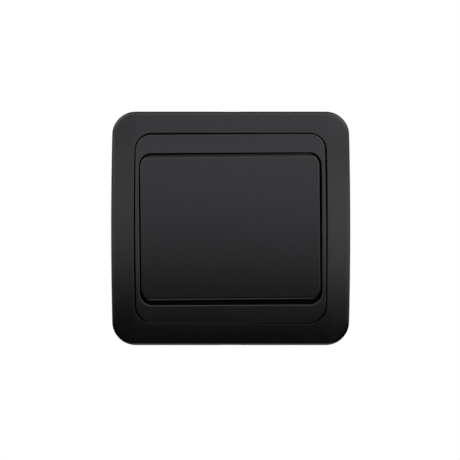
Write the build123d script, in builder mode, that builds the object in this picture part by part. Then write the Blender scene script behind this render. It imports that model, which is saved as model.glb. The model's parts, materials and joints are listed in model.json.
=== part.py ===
from build123d import *
import math
import os

# Flush rocker wall switch, one gang, one way. Millimetres.
# X runs to the right, Z up, and Y into the wall. The wall's surface is the plane Y = 0, so the front
# has negative Y and the mechanism hangs behind the wall at positive Y. The origin is the centre of the
# wall box's screw pattern.

# Outer frame
frame_width = 82.0
frame_height = 80.0
frame_bulge = 0.6
frame_corner = 7.8
frame_front = 9.5
frame_wall = 1.8
frame_draft = 3.0
dome_radius = 200.0
seam_gap = 0.45
ledge_front = 5.2
ledge_back = 4.0
rim_wall = 1.5
crown_half_width = 33.0
crown_slope = 3.5
frame_edge = 0.9
rim_notch_width = 7.0
rim_notch_depth = 1.8

# Trim bezel
bezel_width = 65.0
bezel_height = 64.2
bezel_bulge = 0.3
bezel_corner = 5.4
bezel_front = 9.7
bezel_edge = 0.35
opening_width = 61.85
opening_height = 51.7
opening_corner = 4.0
opening_drop = 0.17
opening_lip = 0.3
lip_back = 7.7
lip_undercut = 0.7
floor_front = 3.2
floor_back = 1.8
skirt_width = 64.0
skirt_height = 61.6
skirt_corner = 4.6
skirt_gap = 0.3
bezel_screw_x = 20.0
bezel_screw_z = 19.0
boss_radius = 3.4
bezel_hole_radius = 1.65
bezel_countersink = 3.0
strip_hollow_z = 28.7
strip_hollow_width = 56.0
strip_hollow_height = 2.4
strip_hollow_depth = 3.9
yoke_window_width = 33.0
yoke_window_height = 31.0
floor_notch_x = 27.8
floor_notch_width = 5.0
floor_notch_height = 10.0
claw_hole_radius = 4.6
bezel_skew = -0.3

# Rocker key, in its middle position
key_width = 60.92
key_height = 50.0
key_corner = 4.0
key_bevel = 1.0
key_edge = 0.4
key_front = 11.0
key_back = 5.2
key_radius = 300.0
key_wall = 1.7
key_side_growth = 0.1
key_end_growth = 0.1
key_back_corner = 4.4
cross_rib_z = 6.0
cross_rib_width = 20.0
cross_rib_gap = 0.05
long_rib_x = 20.0
long_rib_back = 7.4
long_rib_depth = 2.4
rib_thickness = 1.2
clip_x = 8.0
clip_back = 4.2
clip_gap = 0.6
clip_width = 4.0
clip_thickness = 1.2
hook_size = 1.0

# The key's play on its clips: moved to the left and up, and turned a little further than the bezel
key_shift_x = -0.13
key_shift_z = 0.36
key_skew = -0.55

# Rocker pivot and its travel to either side of the middle
pivot_depth = 6.0
rest_tilt = 3.5
trunnion_radius = 1.95
trunnion_bore = 2.0
ear_inner = 12.8
ear_outer = 15.2
ear_rise = 2.6
bridge_front = 7.2
bridge_back = 5.4
bridge_half_height = 10.9
bridge_half_width = 12.4
cheek_thickness = 1.5
cheek_height = 6.0
cheek_back = 1.8
web_width = 18.0
web_thickness = 1.4
tube_back = 7.0
tube_radius = 3.3
tube_bore = 2.0
tube_depth = 10.0
tube_lead_in = 0.3

# Plunger and its spring inside the tube, in the key's middle position
plunger_radius = 1.92
stem_radius = 1.2
stem_front = 5.0
shoulder_y = 6.0
tip_centre = 9.3
spring_pitch = 1.15
spring_length = 8.2
spring_front = -2.7
spring_radius = 1.55
spring_wire = 0.2

# Support plate
plate_thickness = 1.0
plate_width = 72.0
plate_height = 71.0
plate_corner = 5.0
plate_window_width = 31.2
plate_window_height = 30.0
plate_claw_hole = 2.4
fold_width = 44.0
fold_height = 1.2
box_screw_spacing = 60.0
box_slot_length = 8.0
box_slot_radius = 2.1
plate_screw_hole = 1.7
rivet_x = 14.6
rivet_z = 18.6
rivet_radius = 1.2
rivet_hole = 1.25
rivet_length = 4.0
rivet_head_radius = 1.75
rivet_head_height = 0.55
rivet_head_draft = 20.0

# Mechanism base
base_half_width = 17.5
base_half_height = 22.0
base_depth = 23.0
base_corner = 3.5
base_edge = 1.0
cavity_half_width = 7.0
cavity_half_height = 10.4
recess_x = 12.2
recess_width = 5.2
recess_height = 24.0
ear_width = 8.4
snap_mouth = 3.3
driver_hole_radius = 3.0
cover_thickness = 1.8
cover_width = 26.2
cover_height = 40.8
cover_corner = 1.4
cover_gap = 0.1
plunger_slot_travel = 2.4
plunger_slot_width = 8.4
ear_slot_width = 3.0
ear_slot_height = 8.8

# Contacts
metal = 1.0
fulcrum_axis = 13.05
fulcrum_radius = 0.5
fulcrum_half_width = 3.0
contact_gap = 0.05
contact_tilt = 9.0
contact_half_length = 9.6
contact_width = 6.4
contact_lug_x = 3.7
contact_ear_x = 3.75
contact_ear_width = 3.0
contact_ear_thickness = 0.9
contact_ear_depth = 1.6
contact_rivet_z = 8.5
contact_rivet_height = 0.7
contact_rivet_radius = 1.2
fixed_rivet_z = 8.6
fixed_rivet_radius = 1.4
fixed_rivet_height = 0.8
fixed_rivet_edge = 0.3
fixed_pad_y = 15.8
fixed_pad_length = 3.3
fixed_pad_half_width = 3.0
riser_z = 9.75
fixed_strip_inner = 7.0
strip_back = 20.5
strip_half_width = 1.5

# Terminals
tab_inner = 17.0
tab_front = 7.0
tab_width = 9.2
tab_hole = 1.9
chamber_half_width = 5.2
chamber_inner = 11.4
chamber_outer = 20.4
terminal_y = 12.0
clamp_inner = 11.8
clamp_thickness = 2.0
clamp_width = 9.8
clamp_depth = 8.0
clamp_corner = 0.6
clamp_groove = 2.0
inlet_radius = 1.3
inlet_funnel = 2.1
inlet_x = 3.2
inlet_z = 15.4
screw_radius = 1.75
thread_clearance = 0.05
head_clearance = 0.05
driver_slot_width = 0.9
driver_slot_share = 0.55
terminal_head_radius = 2.8
terminal_head_height = 1.7
terminal_screw_length = 6.4
claw_head_radius = 3.0
claw_head_height = 1.6
claw_screw_length = 21.5
claw_head_back = -1.9

# Cross-head screws of the bezel
bezel_screw_radius = 1.5
bezel_screw_length = 5.2
bezel_head_radius = 2.85
bezel_head_height = 1.35
bezel_head_slope = 44.0
cross_length = 2.8
cross_width = 0.7
cross_depth = 1.0
cross_draft = 12.0

# Claws
claw_axis = 0.8
knuckle_radius = 0.75
claw_screw_x = 22.3
claw_screw_z = -6.0
claw_half_height = 4.0
claw_inner = 19.5
claw_outer = 25.5
claw_metal = 1.2
claw_front = 1.5
claw_length = 15.5
tooth_reach = 1.3
tooth_start = 3.4
tooth_end = 1.2
tooth_gap = 2.4


def level(y):
    """Plane parallel to the wall at the height y, facing the front, with X right and Z up."""
    return Plane.XZ.offset(-y)


def barrel_face(y, width, height, bulge, corner):
    """Rounded rectangle whose left and right sides bow outwards."""
    end = width / 2 - bulge
    top = height / 2
    with BuildSketch(level(y)) as outline:
        with BuildLine():
            right = ThreePointArc((end, -top), (width / 2, 0), (end, top))
            Line(right @ 1, (-end, top))
            left = ThreePointArc((-end, top), (-width / 2, 0), (-end, -top))
            Line(left @ 1, right @ 0)
        make_face()
        fillet(outline.vertices(), radius=corner)
    return outline.sketch


def rounded_face(y, width, height, corner, drop=0.0):
    """Rounded rectangle parallel to the wall."""
    with BuildSketch(level(y)) as outline:
        with Locations((0, -drop)):
            RectangleRounded(width, height, corner)
    return outline.sketch


def dome_section(front, radius, plane=Plane.YZ):
    """Upright section (Y, Z) under a front that bows about the X axis."""
    half_height = frame_height / 2 + 5
    back = 12
    sink = radius - math.sqrt(radius**2 - half_height**2)
    with BuildSketch(plane) as section:
        with BuildLine():
            lower = (sink - front, -half_height)
            upper = (sink - front, half_height)
            front_arc = ThreePointArc(lower, (-front, 0), upper)
            Polyline(front_arc @ 1, (back, half_height), (back, -half_height), front_arc @ 0)
        make_face()
    return section.sketch


def bevelled_section(front, half_height, bevel):
    """Upright section (Y, Z) of the key: bowed front, and a flat bevel along its upper and lower ends."""
    flat = half_height - bevel
    sink = key_radius - math.sqrt(key_radius**2 - flat**2)
    shoulder = front - sink - bevel
    wide = half_height + 2
    with BuildSketch(Plane.YZ) as section:
        with BuildLine():
            front_arc = ThreePointArc((sink - front, -flat), (-front, 0), (sink - front, flat))
            upper = Line(front_arc @ 1, (-shoulder, half_height))
            lower = Line((-shoulder, -half_height), front_arc @ 0)
            Polyline(
                upper @ 1,
                (-shoulder, wide),
                (0, wide),
                (0, -wide),
                (-shoulder, -wide),
                lower @ 0,
            )
        make_face()
    return section.sketch


def strip_plane(side):
    """Plane across a side strip of the outer frame, whose front falls away outwards."""
    turn = side * crown_slope
    across = Vector(1, 0, 0).rotate(Axis.Z, turn)
    depth = Vector(0, 1, 0).rotate(Axis.Z, turn)
    return Plane(origin=(side * crown_half_width, 0, 0), x_dir=depth, z_dir=across)


def rim_edges(faces):
    """Edges round a group of neighbouring faces, without those between two of them."""
    edges = ShapeList(edge for face in faces for edge in face.edges())
    return edges.filter_by(lambda edge: sum(edge.is_same(other) for other in edges) == 1)


def front_face(piece):
    """The face of a piece that lies nearest to the viewer in front of the wall."""
    return piece.faces().sort_by(Axis.Y)[0]


# ---------------------------------------------------------------- outer frame
with BuildPart() as frame_hollow:
    hollow_width = frame_width - 2 * frame_wall
    hollow_height = frame_height - 2 * frame_wall
    extrude(
        barrel_face(0, hollow_width, hollow_height, frame_bulge, frame_corner - frame_wall),
        amount=frame_front,
        taper=frame_draft,
    )
    extrude(
        dome_section(frame_front - frame_wall, dome_radius),
        amount=frame_width,
        both=True,
        mode=Mode.INTERSECT,
    )
    rim_width = bezel_width + 2 * (seam_gap + rim_wall)
    rim_height = bezel_height + 2 * (seam_gap + rim_wall)
    extrude(
        barrel_face(-ledge_back, rim_width, rim_height, bezel_bulge, bezel_corner + rim_wall),
        amount=frame_front,
        mode=Mode.SUBTRACT,
    )

with BuildPart() as outer_frame:
    extrude(
        barrel_face(0, frame_width, frame_height, frame_bulge, frame_corner),
        amount=frame_front + 1,
        taper=frame_draft,
    )
    for plane in (Plane.YZ, strip_plane(-1), strip_plane(1)):
        extrude(
            dome_section(frame_front, dome_radius, plane),
            amount=frame_width,
            both=True,
            mode=Mode.INTERSECT,
        )
    fillet(rim_edges(outer_frame.faces().sort_by(Axis.Y)[:3]), radius=frame_edge)
    add(frame_hollow.part, mode=Mode.SUBTRACT)
    seat_width = bezel_width + 2 * seam_gap
    seat_height = bezel_height + 2 * seam_gap
    extrude(
        barrel_face(-ledge_front, seat_width, seat_height, bezel_bulge, bezel_corner + seam_gap),
        amount=frame_front,
        mode=Mode.SUBTRACT,
    )
    window_width = skirt_width + 2 * skirt_gap
    window_height = skirt_height + 2 * skirt_gap
    extrude(
        rounded_face(1, window_width, window_height, skirt_corner + skirt_gap),
        amount=frame_front,
        mode=Mode.SUBTRACT,
    )
    # back rim notches, where a screwdriver lifts the frame off the wall
    with BuildSketch(level(0)):
        with GridLocations(0, frame_height, 1, 2):
            Rectangle(rim_notch_width, 3 * frame_wall)
    extrude(amount=rim_notch_depth, mode=Mode.SUBTRACT)


# ---------------------------------------------------------------- trim bezel
with BuildPart() as trim_bezel:
    extrude(
        barrel_face(-ledge_front, bezel_width, bezel_height, bezel_bulge, bezel_corner),
        amount=bezel_front,
    )
    extrude(dome_section(bezel_front, dome_radius), amount=frame_width, both=True, mode=Mode.INTERSECT)
    fillet(front_face(trim_bezel).edges(), radius=bezel_edge)
    extrude(
        rounded_face(-floor_back, skirt_width, skirt_height, skirt_corner),
        amount=ledge_front - floor_back,
    )
    # the key's opening, and the hollows behind the upper and lower strips
    extrude(
        rounded_face(-floor_front, opening_width, opening_height, opening_corner, opening_drop),
        amount=bezel_front,
        mode=Mode.SUBTRACT,
    )
    fillet(front_face(trim_bezel).inner_wires()[0].edges(), radius=opening_lip)
    # undercut behind the lip, so that the key's ends can swing
    extrude(
        rounded_face(
            -floor_front, opening_width, opening_height + 2 * lip_undercut, opening_corner, opening_drop
        ),
        amount=lip_back - floor_front,
        mode=Mode.SUBTRACT,
    )
    with BuildSketch(level(-floor_back)):
        with GridLocations(0, 2 * strip_hollow_z, 1, 2):
            RectangleRounded(strip_hollow_width, strip_hollow_height, 1)
    extrude(amount=strip_hollow_depth, mode=Mode.SUBTRACT)
    # floor: the yoke's window, the notches for the wall box's screws and the claw screws' holes
    with BuildSketch(level(-floor_back)):
        RectangleRounded(yoke_window_width, yoke_window_height, 2.5)
        with GridLocations(2 * floor_notch_x, 0, 2, 1):
            Rectangle(floor_notch_width, floor_notch_height)
        with Locations((-claw_screw_x, claw_screw_z), (claw_screw_x, claw_screw_z)):
            Circle(claw_hole_radius)
    extrude(amount=floor_front - floor_back, mode=Mode.SUBTRACT)
    # bosses that stand on the support plate, with countersunk holes
    with BuildSketch(level(-plate_thickness)):
        with Locations((bezel_screw_x, bezel_screw_z), (-bezel_screw_x, -bezel_screw_z)):
            Circle(boss_radius)
    extrude(amount=floor_back - plate_thickness)
    with Locations(level(-floor_front)):
        with Locations((bezel_screw_x, bezel_screw_z), (-bezel_screw_x, -bezel_screw_z)):
            CounterSinkHole(radius=bezel_hole_radius, counter_sink_radius=bezel_countersink)


# ---------------------------------------------------------------- rocker: key and yoke
def key_block(front, wall):
    """Bowed and bevelled block under the key's skin, its walls growing outwards towards the back."""
    front_width = key_width - 2 * wall
    front_height = key_height - 2 * wall
    back_width = front_width + 2 * key_side_growth
    back_height = front_height + 2 * key_end_growth
    section = bevelled_section(front, front_height / 2, key_bevel)
    with BuildPart() as block:
        with BuildSketch(level(-key_back)):
            RectangleRounded(back_width, back_height, key_back_corner - wall / 2)
        with BuildSketch(level(-key_front)):
            RectangleRounded(front_width, front_height, key_corner - wall / 2)
        loft(ruled=True)
        extrude(section, amount=frame_width, both=True, mode=Mode.INTERSECT)
    return block.part


with BuildPart() as rocker_key:
    add(key_block(key_front, 0))
    fillet(front_face(rocker_key).edges(), radius=key_edge)
    add(key_block(key_front - key_wall, key_wall), mode=Mode.SUBTRACT)
    # two cross ribs that rest on the yoke
    with BuildSketch(level(-bridge_front - cross_rib_gap)):
        with GridLocations(0, 2 * cross_rib_z, 1, 2):
            Rectangle(cross_rib_width, rib_thickness)
    extrude(amount=key_front - key_wall - bridge_front)
    # four clip legs, with hooks that catch behind the yoke's bridge
    for side in (-1, 1):
        leg_z = side * (bridge_half_height + clip_gap + clip_thickness / 2)
        hook_z = side * (bridge_half_height + clip_gap - hook_size / 2)
        with BuildSketch(level(-clip_back)):
            with Locations((-clip_x, leg_z), (clip_x, leg_z)):
                Rectangle(clip_width, clip_thickness)
        extrude(amount=key_front - key_wall - clip_back)
        with BuildSketch(level(-clip_back)):
            with Locations((-clip_x, hook_z), (clip_x, hook_z)):
                Rectangle(clip_width, hook_size)
        extrude(amount=hook_size)
    # stiffening ribs under the long sides
    with BuildSketch(level(-long_rib_back)):
        with GridLocations(2 * long_rib_x, 0, 2, 1):
            Rectangle(1, key_height - 2 * key_wall)
    extrude(amount=long_rib_depth)

with BuildPart() as rocker_yoke:
    extrude(
        rounded_face(-bridge_back, 2 * bridge_half_width, 2 * bridge_half_height, 1.0),
        amount=bridge_front - bridge_back,
    )
    # cheeks and trunnions
    with BuildSketch(level(-cheek_back)):
        with GridLocations(2 * bridge_half_width - cheek_thickness, 0, 2, 1):
            Rectangle(cheek_thickness, cheek_height)
    extrude(amount=bridge_back - cheek_back)
    trunnion_length = ear_outer - bridge_half_width + cheek_thickness
    for start in (-ear_outer, bridge_half_width - cheek_thickness):
        with BuildSketch(Plane.YZ.offset(start)):
            with Locations((-pivot_depth, 0)):
                Circle(trunnion_radius)
        extrude(amount=trunnion_length)
    # the tube that guides the plunger, with webs to the bridge
    with BuildSketch(level(tube_back)):
        Circle(tube_radius)
    extrude(amount=tube_back + bridge_back)
    with BuildSketch(level(-cheek_back)):
        Rectangle(web_width, web_thickness)
    extrude(amount=bridge_back - cheek_back)
    with BuildSketch(level(tube_back)):
        Circle(tube_bore)
    extrude(amount=tube_depth, mode=Mode.SUBTRACT)
    tube_mouth = rocker_yoke.faces().sort_by(Axis.Y)[-1].edges().sort_by(Edge.length)[0]
    chamfer(tube_mouth, length=tube_lead_in)

with BuildPart() as plunger:
    diagonal = plunger_radius * math.sin(math.pi / 4)
    with BuildSketch(Plane.XY):
        with BuildLine():
            stem = Polyline(
                (0, stem_front),
                (stem_radius, stem_front),
                (stem_radius, shoulder_y),
                (plunger_radius, shoulder_y),
                (plunger_radius, tip_centre),
            )
            tip = ThreePointArc(
                stem @ 1,
                (diagonal, tip_centre + diagonal),
                (0, tip_centre + plunger_radius),
            )
            Line(tip @ 1, stem @ 0)
        make_face()
    revolve(axis=Axis.Y)

with BuildPart() as plunger_spring:
    with BuildLine() as coil:
        Helix(
            pitch=spring_pitch,
            height=spring_length,
            radius=spring_radius,
            center=(0, spring_front, 0),
            direction=(0, 1, 0),
        )
    with BuildSketch(Plane(origin=coil.line @ 0, z_dir=coil.line % 0)):
        Circle(spring_wire)
    sweep(path=coil.line, is_frenet=True)


def tilted(piece, angle, y):
    """A piece turned by angle about the line along X at the height y in the middle of the switch."""
    return piece.moved(Location((0, y, 0)) * Location((0, 0, 0), (angle, 0, 0)) * Location((0, -y, 0)))


bezel_seat = Location((0, 0, 0), (0, bezel_skew, 0))
key_seat = Location((key_shift_x, 0, key_shift_z), (0, key_skew, 0))
key_piece = tilted(rocker_key.part.moved(key_seat), rest_tilt, -pivot_depth)
yoke_piece = tilted(rocker_yoke.part, rest_tilt, -pivot_depth)
plunger_piece = tilted(plunger.part, rest_tilt, -pivot_depth)
spring_piece = tilted(plunger_spring.part, rest_tilt, -pivot_depth)


# ---------------------------------------------------------------- support plate
with BuildPart() as support_plate:
    extrude(rounded_face(0, plate_width, plate_height, plate_corner), amount=plate_thickness)
    with BuildSketch(level(0)):
        RectangleRounded(plate_window_width, plate_window_height, 2)
        with GridLocations(box_screw_spacing, 0, 2, 1):
            SlotOverall(box_slot_length, 2 * box_slot_radius)
        with GridLocations(0, box_screw_spacing, 1, 2):
            SlotOverall(box_slot_length, 2 * box_slot_radius, rotation=90)
        with Locations((-claw_screw_x, claw_screw_z), (claw_screw_x, claw_screw_z)):
            Circle(plate_claw_hole)
        with Locations((bezel_screw_x, bezel_screw_z), (-bezel_screw_x, -bezel_screw_z)):
            Circle(plate_screw_hole)
        with GridLocations(2 * rivet_x, 2 * rivet_z, 2, 2):
            Circle(rivet_hole)
    extrude(amount=plate_thickness, mode=Mode.SUBTRACT)
    # folded edges at the top and bottom stiffen the plate
    with BuildSketch(level(-plate_thickness)):
        with GridLocations(0, plate_height - plate_thickness, 1, 2):
            Rectangle(fold_width, plate_thickness)
    extrude(amount=fold_height)

with BuildPart() as plate_rivets:
    with BuildSketch(level(rivet_length)):
        with GridLocations(2 * rivet_x, 2 * rivet_z, 2, 2):
            Circle(rivet_radius)
    extrude(amount=rivet_length + plate_thickness)
    with BuildSketch(level(-plate_thickness)):
        with GridLocations(2 * rivet_x, 2 * rivet_z, 2, 2):
            Circle(rivet_head_radius)
    extrude(amount=rivet_head_height, taper=rivet_head_draft)


# ---------------------------------------------------------------- mechanism base and its cover
with BuildPart() as mechanism_base:
    extrude(
        rounded_face(base_depth, 2 * base_half_width, 2 * base_half_height, base_corner),
        amount=base_depth,
    )
    fillet(mechanism_base.faces().sort_by(Axis.Y)[-1].edges(), radius=base_edge)
    # contact cavity and terminal chambers, open towards the front
    with BuildSketch(level(strip_back)):
        Rectangle(2 * cavity_half_width, 2 * cavity_half_height)
        with GridLocations(0, chamber_inner + chamber_outer, 1, 2):
            Rectangle(2 * chamber_half_width, chamber_outer - chamber_inner)
        Rectangle(2 * (strip_half_width + cover_gap), 2 * chamber_outer - 1)
    extrude(amount=metal + cover_gap, mode=Mode.SUBTRACT)
    with BuildSketch(level(strip_back - 1)):
        Rectangle(2 * cavity_half_width, 2 * cavity_half_height)
        with GridLocations(0, chamber_inner + chamber_outer, 1, 2):
            Rectangle(2 * chamber_half_width, chamber_outer - chamber_inner)
    extrude(amount=strip_back, mode=Mode.SUBTRACT)
    # rebate for the cover
    rebate_width = cover_width + 2 * cover_gap
    rebate_height = cover_height + 2 * cover_gap
    rebate = rounded_face(cover_thickness, rebate_width, rebate_height, cover_corner + cover_gap)
    extrude(rebate, amount=2 * cover_thickness, mode=Mode.SUBTRACT)
    # recesses beside the cavity keep the walls even
    with BuildSketch(level(strip_back)):
        with GridLocations(2 * recess_x, 0, 2, 1):
            RectangleRounded(recess_width, recess_height, 1)
    extrude(amount=strip_back - cover_thickness - 2, mode=Mode.SUBTRACT)
    # ears with open snap seats for the trunnions
    with BuildSketch(level(cover_thickness)):
        with GridLocations(ear_inner + ear_outer, 0, 2, 1):
            Rectangle(ear_outer - ear_inner, ear_width)
    extrude(amount=cover_thickness + pivot_depth + ear_rise)
    with BuildSketch(Plane.YZ.offset(-ear_outer - 1)):
        with Locations((-pivot_depth, 0)):
            Circle(trunnion_bore)
        with Locations((-pivot_depth - 3, 0)):
            Rectangle(2 * 3, snap_mouth)
    extrude(amount=2 * ear_outer + 2, mode=Mode.SUBTRACT)
    # wire inlets through the rear wall, with funnels
    with Locations(Plane.XZ.offset(-base_depth).rotated((180, 0, 0))):
        with GridLocations(2 * inlet_x, 2 * inlet_z, 2, 2):
            CounterSinkHole(radius=inlet_radius, counter_sink_radius=inlet_funnel, depth=3)
    # screwdriver holes in the top and bottom walls
    with BuildSketch(Plane.XY.offset(-base_half_height - 1)):
        with Locations((0, terminal_y)):
            Circle(driver_hole_radius)
    extrude(amount=4, mode=Mode.SUBTRACT)
    with BuildSketch(Plane.XY.offset(base_half_height + 1)):
        with Locations((0, terminal_y)):
            Circle(driver_hole_radius)
    extrude(amount=-4, mode=Mode.SUBTRACT)
    # rivet holes
    with BuildSketch(level(rivet_length)):
        with GridLocations(2 * rivet_x, 2 * rivet_z, 2, 2):
            Circle(rivet_hole)
    extrude(amount=rivet_length + 1, mode=Mode.SUBTRACT)

with BuildPart() as contact_cover:
    extrude(
        rounded_face(cover_thickness, cover_width, cover_height, cover_corner),
        amount=cover_thickness - cover_gap,
    )
    with BuildSketch(level(cover_thickness)):
        SlotCenterToCenter(plunger_slot_travel, plunger_slot_width, rotation=90)
        with GridLocations(ear_inner + ear_outer, 0, 2, 1):
            Rectangle(ear_slot_width, ear_slot_height)
    extrude(amount=cover_thickness, mode=Mode.SUBTRACT)


# ---------------------------------------------------------------- contacts
def terminal_tab(side):
    """Tab that carries a terminal's screw, and the strip along the floor of the cavity."""
    with BuildPart() as tab:
        with BuildSketch(Plane.XY.offset(side * tab_inner)):
            with Locations((0, (tab_front + strip_back) / 2)):
                Rectangle(tab_width, strip_back - tab_front)
            with Locations((0, terminal_y)):
                Circle(tab_hole, mode=Mode.SUBTRACT)
        extrude(amount=side * metal)
    return tab.part


with BuildPart() as common_contact:
    add(terminal_tab(1))
    with BuildSketch(level(strip_back)):
        with Locations((0, (tab_inner + metal) / 2 - 1)):
            Rectangle(2 * strip_half_width, tab_inner + metal + 2)
    extrude(amount=metal)
    # fulcrum blade with a rounded edge
    with BuildSketch(Plane.YZ):
        with Locations(((strip_back + fulcrum_axis) / 2, 0)):
            Rectangle(strip_back - fulcrum_axis, 2 * fulcrum_radius)
        with Locations((fulcrum_axis, 0)):
            Circle(fulcrum_radius)
    extrude(amount=fulcrum_half_width, both=True)

with BuildPart() as fixed_contact:
    add(terminal_tab(-1))
    with BuildSketch(level(strip_back)):
        with Locations((0, -(tab_inner + metal + fixed_strip_inner) / 2)):
            Rectangle(2 * strip_half_width, tab_inner + metal - fixed_strip_inner)
    extrude(amount=metal)
    # riser and pad
    with BuildSketch(Plane.YZ):
        with Locations(((strip_back + fixed_pad_y) / 2, -riser_z)):
            Rectangle(strip_back - fixed_pad_y, metal)
        with Locations((fixed_pad_y + metal / 2, -fixed_rivet_z)):
            Rectangle(metal, fixed_pad_length)
    extrude(amount=fixed_pad_half_width, both=True)

with BuildPart() as fixed_contact_rivet:
    with BuildSketch(level(fixed_pad_y)):
        with Locations((0, -fixed_rivet_z)):
            Circle(fixed_rivet_radius)
    extrude(amount=fixed_rivet_height)
    fillet(front_face(fixed_contact_rivet).edges(), radius=fixed_rivet_edge)

with BuildPart() as moving_contact:
    contact_back = fulcrum_axis - fulcrum_radius - contact_gap
    with BuildSketch(level(contact_back)):
        RectangleRounded(contact_width, 2 * contact_half_length, 1.2)
        with GridLocations(2 * contact_lug_x, 0, 2, 1):
            Rectangle(1, 4)
    extrude(amount=metal)
    # ears that keep the plate on its fulcrum
    with BuildSketch(level(contact_back + contact_ear_depth)):
        with GridLocations(2 * contact_ear_x, 0, 2, 1):
            Rectangle(contact_ear_thickness, contact_ear_width)
    extrude(amount=contact_ear_depth)

with BuildPart() as moving_contact_rivet:
    with BuildSketch(level(contact_back + contact_rivet_height)):
        with Locations((0, -contact_rivet_z)):
            Circle(contact_rivet_radius)
    extrude(amount=contact_rivet_height)

moving_piece = tilted(moving_contact.part, -contact_tilt, fulcrum_axis)
moving_rivet_piece = tilted(moving_contact_rivet.part, -contact_tilt, fulcrum_axis)


# ---------------------------------------------------------------- screws and clamps
def slotted_screw(seat, head_radius, head_height, length):
    """Cheese-head screw. The seat is the plane under its head, facing out of the head."""
    with BuildPart() as screw:
        with BuildSketch(seat):
            Circle(head_radius)
        extrude(amount=head_height)
        with BuildSketch(seat):
            Circle(screw_radius)
        extrude(amount=-length)
        with BuildSketch(seat.offset(head_height)):
            Rectangle(2 * head_radius + 1, driver_slot_width)
        extrude(amount=-driver_slot_share * head_height, mode=Mode.SUBTRACT)
    return screw.part


def countersunk_screw(top, length):
    """Countersunk cross-head screw. The plane is the top of its head."""
    with BuildPart() as screw:
        with BuildSketch(top):
            Circle(bezel_head_radius)
        extrude(amount=-bezel_head_height, taper=bezel_head_slope)
        with BuildSketch(top):
            Circle(bezel_screw_radius)
        extrude(amount=-length)
        with BuildSketch(top):
            Rectangle(cross_length, cross_width)
            Rectangle(cross_width, cross_length)
        extrude(amount=-cross_depth, taper=cross_draft, mode=Mode.SUBTRACT)
    return screw.part


def terminal_screw(side):
    """Captive screw whose head bears on the outside of a terminal's tab."""
    seat_z = side * (tab_inner + metal + head_clearance)
    seat = Plane(origin=(0, terminal_y, seat_z), x_dir=(1, 0, 0), z_dir=(0, 0, side))
    return slotted_screw(seat, terminal_head_radius, terminal_head_height, terminal_screw_length)


def wire_clamp(side):
    """Square clamp plate that the terminal's screw draws outwards, with grooves that grip the wires."""
    with BuildPart() as clamp:
        with BuildSketch(Plane.XY.offset(side * clamp_inner)):
            with Locations((0, terminal_y)):
                RectangleRounded(clamp_width, clamp_depth, clamp_corner)
                Circle(screw_radius + thread_clearance, mode=Mode.SUBTRACT)
        extrude(amount=side * clamp_thickness)
        with BuildSketch(Plane.XZ.offset(-terminal_y)):
            with Locations((-inlet_x, side * inlet_z), (inlet_x, side * inlet_z)):
                Circle(clamp_groove)
        extrude(amount=clamp_depth, both=True, mode=Mode.SUBTRACT)
    return clamp.part


def bezel_screw(side):
    """Screw that holds the bezel on the support plate."""
    centre = (side * bezel_screw_x, -floor_front, side * bezel_screw_z)
    top = Plane(origin=centre, x_dir=(1, 0, 0), z_dir=(0, -1, 0))
    return countersunk_screw(top, bezel_screw_length)


# ---------------------------------------------------------------- claws
def claw(side):
    """Spreading claw: two tongues on its screw, an outer arm, teeth at the far end, knuckles in front."""
    arm_inner = claw_outer - claw_metal
    back = claw_front + claw_length
    with BuildPart() as bracket:
        with BuildSketch(Plane.XY.offset(claw_screw_z - claw_half_height)):
            with BuildLine():
                Polyline(
                    (side * claw_inner, claw_front),
                    (side * claw_outer, claw_front),
                    (side * claw_outer, back - tooth_start),
                    (side * (claw_outer + tooth_reach), back - tooth_end),
                    (side * claw_outer, back - tooth_end),
                    (side * claw_outer, back),
                    (side * claw_inner, back),
                    (side * claw_inner, back - claw_metal),
                    (side * arm_inner, back - claw_metal),
                    (side * arm_inner, claw_front + claw_metal),
                    (side * claw_inner, claw_front + claw_metal),
                    close=True,
                )
            make_face()
        extrude(amount=2 * claw_half_height)
        # the gap between the two teeth
        with BuildSketch(Plane.XY.offset(claw_screw_z - tooth_gap / 2)):
            with Locations((side * (claw_outer + 1), back - 2)):
                Rectangle(2, tooth_start + 2)
        extrude(amount=tooth_gap, mode=Mode.SUBTRACT)
        # round knuckles that roll on the back of the support plate
        with BuildSketch(Plane.XY.offset(claw_screw_z - claw_half_height)):
            with Locations((side * claw_screw_x, claw_axis)):
                Circle(knuckle_radius)
        extrude(amount=2 * claw_half_height)
        with BuildSketch(level(back)):
            with Locations((side * claw_screw_x, claw_screw_z)):
                Circle(screw_radius + thread_clearance)
        extrude(amount=claw_length + 3, mode=Mode.SUBTRACT)
    return bracket.part


def claw_screw(side):
    """Long screw of a claw. Its head stands off the plate, so that it can lean with the claw."""
    centre = (side * claw_screw_x, claw_head_back, claw_screw_z)
    seat = Plane(origin=centre, x_dir=(1, 0, 0), z_dir=(0, -1, 0))
    return slotted_screw(seat, claw_head_radius, claw_head_height, claw_screw_length)


# ---------------------------------------------------------------- finished pieces
pieces = {
    "outer_frame": outer_frame.part,
    "trim_bezel": trim_bezel.part.moved(bezel_seat),
    "rocker_key": key_piece,
    "rocker_yoke": yoke_piece,
    "plunger": plunger_piece,
    "plunger_spring": spring_piece,
    "support_plate": support_plate.part,
    "plate_rivets": plate_rivets.part,
    "mechanism_base": mechanism_base.part,
    "contact_cover": contact_cover.part,
    "common_contact": common_contact.part,
    "fixed_contact": fixed_contact.part,
    "fixed_contact_rivet": fixed_contact_rivet.part,
    "moving_contact": moving_piece,
    "moving_contact_rivet": moving_rivet_piece,
    "bezel_screws": Compound([bezel_screw(1), bezel_screw(-1)]).moved(bezel_seat),
    "upper_terminal_screw": terminal_screw(1),
    "lower_terminal_screw": terminal_screw(-1),
    "upper_wire_clamp": wire_clamp(1),
    "lower_wire_clamp": wire_clamp(-1),
    "left_claw": claw(-1),
    "right_claw": claw(1),
    "left_claw_screw": claw_screw(-1),
    "right_claw_screw": claw_screw(1),
}

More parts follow.
